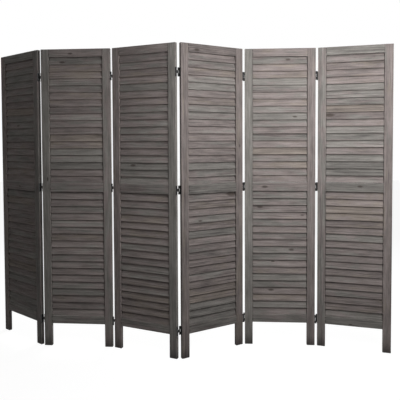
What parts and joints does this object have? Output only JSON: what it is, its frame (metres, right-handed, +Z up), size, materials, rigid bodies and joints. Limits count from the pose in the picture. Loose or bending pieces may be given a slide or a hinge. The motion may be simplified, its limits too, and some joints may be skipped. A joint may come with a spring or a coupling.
{
  "type": "folding screen",
  "caption": "Free-standing folding screen of tall louvred timber panels joined by double-action hinges, with feet cut from the stiles.",
  "frame": {"origin": "on the floor, under the middle of the rectangle that the standing screen covers", "axes": "+Z up, the front faces -Y, +X runs to the right along the screen from panel 1 to panel 6"},
  "size_m": [2.2824, 0.4995, 1.7],
  "materials": {
    "frame_wood": "grey wash, matt, open grain",
    "louvre_wood": "grey wash, matt, open grain",
    "hinge_metal": "black, satin"
  },
  "bodies": {
    "panel_1": {"panel_1_bottom_rail": "frame_wood", "panel_1_left_stile": "frame_wood", "panel_1_lower_louvres": "louvre_wood", "panel_1_middle_rail": "frame_wood", "panel_1_right_stile": "frame_wood", "panel_1_top_rail": "frame_wood", "panel_1_upper_louvres": "louvre_wood", "hinge_1_left_leaves": "hinge_metal"},
    "panel_2": {"panel_2_bottom_rail": "frame_wood", "panel_2_left_stile": "frame_wood", "panel_2_lower_louvres": "louvre_wood", "panel_2_middle_rail": "frame_wood", "panel_2_right_stile": "frame_wood", "panel_2_top_rail": "frame_wood", "panel_2_upper_louvres": "louvre_wood", "hinge_1_right_leaves": "hinge_metal", "hinge_2_left_leaves": "hinge_metal"},
    "panel_3": {"panel_3_bottom_rail": "frame_wood", "panel_3_left_stile": "frame_wood", "panel_3_lower_louvres": "louvre_wood", "panel_3_middle_rail": "frame_wood", "panel_3_right_stile": "frame_wood", "panel_3_top_rail": "frame_wood", "panel_3_upper_louvres": "louvre_wood", "hinge_2_right_leaves": "hinge_metal", "hinge_3_left_leaves": "hinge_metal"},
    "panel_4": {"panel_4_bottom_rail": "frame_wood", "panel_4_left_stile": "frame_wood", "panel_4_lower_louvres": "louvre_wood", "panel_4_middle_rail": "frame_wood", "panel_4_right_stile": "frame_wood", "panel_4_top_rail": "frame_wood", "panel_4_upper_louvres": "louvre_wood", "hinge_3_right_leaves": "hinge_metal", "hinge_4_left_leaves": "hinge_metal"},
    "panel_5": {"panel_5_bottom_rail": "frame_wood", "panel_5_left_stile": "frame_wood", "panel_5_lower_louvres": "louvre_wood", "panel_5_middle_rail": "frame_wood", "panel_5_right_stile": "frame_wood", "panel_5_top_rail": "frame_wood", "panel_5_upper_louvres": "louvre_wood", "hinge_4_right_leaves": "hinge_metal", "hinge_5_left_leaves": "hinge_metal"},
    "panel_6": {"panel_6_bottom_rail": "frame_wood", "panel_6_left_stile": "frame_wood", "panel_6_lower_louvres": "louvre_wood", "panel_6_middle_rail": "frame_wood", "panel_6_right_stile": "frame_wood", "panel_6_top_rail": "frame_wood", "panel_6_upper_louvres": "louvre_wood", "hinge_5_right_leaves": "hinge_metal"},
    "link_1": {"hinge_1_links": "hinge_metal"},
    "link_2": {"hinge_2_links": "hinge_metal"},
    "link_3": {"hinge_3_links": "hinge_metal"},
    "link_4": {"hinge_4_links": "hinge_metal"},
    "link_5": {"hinge_5_links": "hinge_metal"}
  },
  "joints": [
    {"name": "hinge_1_front_pivot", "type": "hinge", "parent": "link_1", "child": "panel_1", "pos_m": [-0.83406, -0.03006, 0.915], "axis": [0, 0, -1], "range_deg": [-180, 0]},
    {"name": "hinge_1_rear_pivot", "type": "hinge", "parent": "panel_2", "child": "link_1", "pos_m": [-0.81975, -0.01336, 0.915], "axis": [0, 0, -1], "range_deg": [-35.6, 144.4]},
    {"name": "hinge_2_front_pivot", "type": "hinge", "parent": "link_2", "child": "panel_2", "pos_m": [-0.41123, -0.07118, 0.915], "axis": [0, 0, 1], "range_deg": [-20.2, 159.8]},
    {"name": "hinge_2_rear_pivot", "type": "hinge", "parent": "panel_3", "child": "link_2", "pos_m": [-0.40186, -0.05127, 0.915], "axis": [0, 0, 1], "range_deg": [-150, 0]},
    {"name": "hinge_3_front_pivot", "type": "hinge", "parent": "panel_3", "child": "link_3", "pos_m": [-0.03844, -0.2466, 0.915], "axis": [0, 0, 1], "range_deg": [-180, 0]},
    {"name": "hinge_3_rear_pivot", "type": "hinge", "parent": "link_3", "child": "panel_4", "pos_m": [-0.02908, -0.22669, 0.915], "axis": [0, 0, 1], "range_deg": [-55.7, 124.3]},
    {"name": "hinge_4_front_pivot", "type": "hinge", "parent": "panel_4", "child": "link_4", "pos_m": [0.33708, -0.03654, 0.915], "axis": [0, 0, -1], "range_deg": [-34.7, 145.3]},
    {"name": "hinge_4_rear_pivot", "type": "hinge", "parent": "link_4", "child": "panel_5", "pos_m": [0.33869, -0.0146, 0.915], "axis": [0, 0, -1], "range_deg": [-180, 0]},
    {"name": "hinge_5_front_pivot", "type": "hinge", "parent": "panel_5", "child": "link_5", "pos_m": [0.74797, -0.06672, 0.915], "axis": [0, 0, 1], "range_deg": [-166.8, 13.2]},
    {"name": "hinge_5_rear_pivot", "type": "hinge", "parent": "link_5", "child": "panel_6", "pos_m": [0.75455, -0.04573, 0.915], "axis": [0, 0, 1], "range_deg": [0, 180]}
  ]
}
